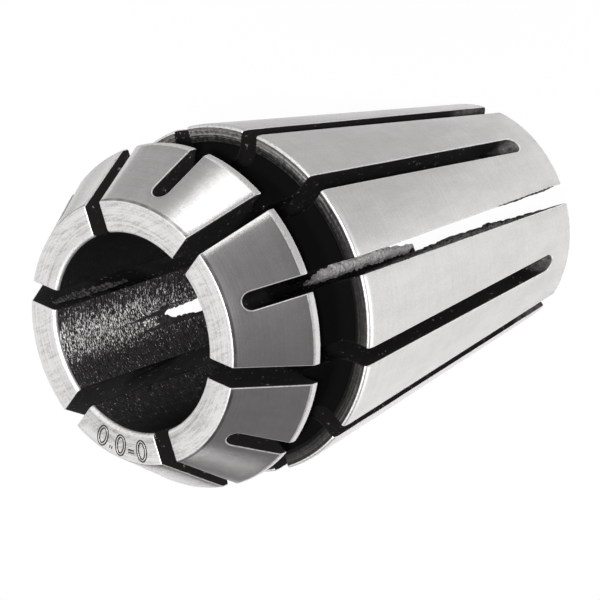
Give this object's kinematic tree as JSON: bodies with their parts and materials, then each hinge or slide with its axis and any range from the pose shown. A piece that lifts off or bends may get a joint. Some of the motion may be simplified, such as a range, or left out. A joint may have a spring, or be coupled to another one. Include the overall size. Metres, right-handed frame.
{
  "type": "spring collet",
  "caption": "Slotted tapered steel sleeve that closes on a round tool shank when it is pressed into a taper seat.",
  "frame": {"origin": "centre of the rear face, the small end of the long taper", "axes": "+Z along the collet's axis, from the rear face to the nose; +X through the middle of a sector, halfway between two neighbouring slots"},
  "size_m": [0.0114, 0.0114, 0.018],
  "materials": {
    "ground_steel": "ground cones, turned face, black oxide left in the groove, the slots and the bore"
  },
  "bodies": {
    "root": {"collet": "ground_steel"}
  },
  "joints": []
}
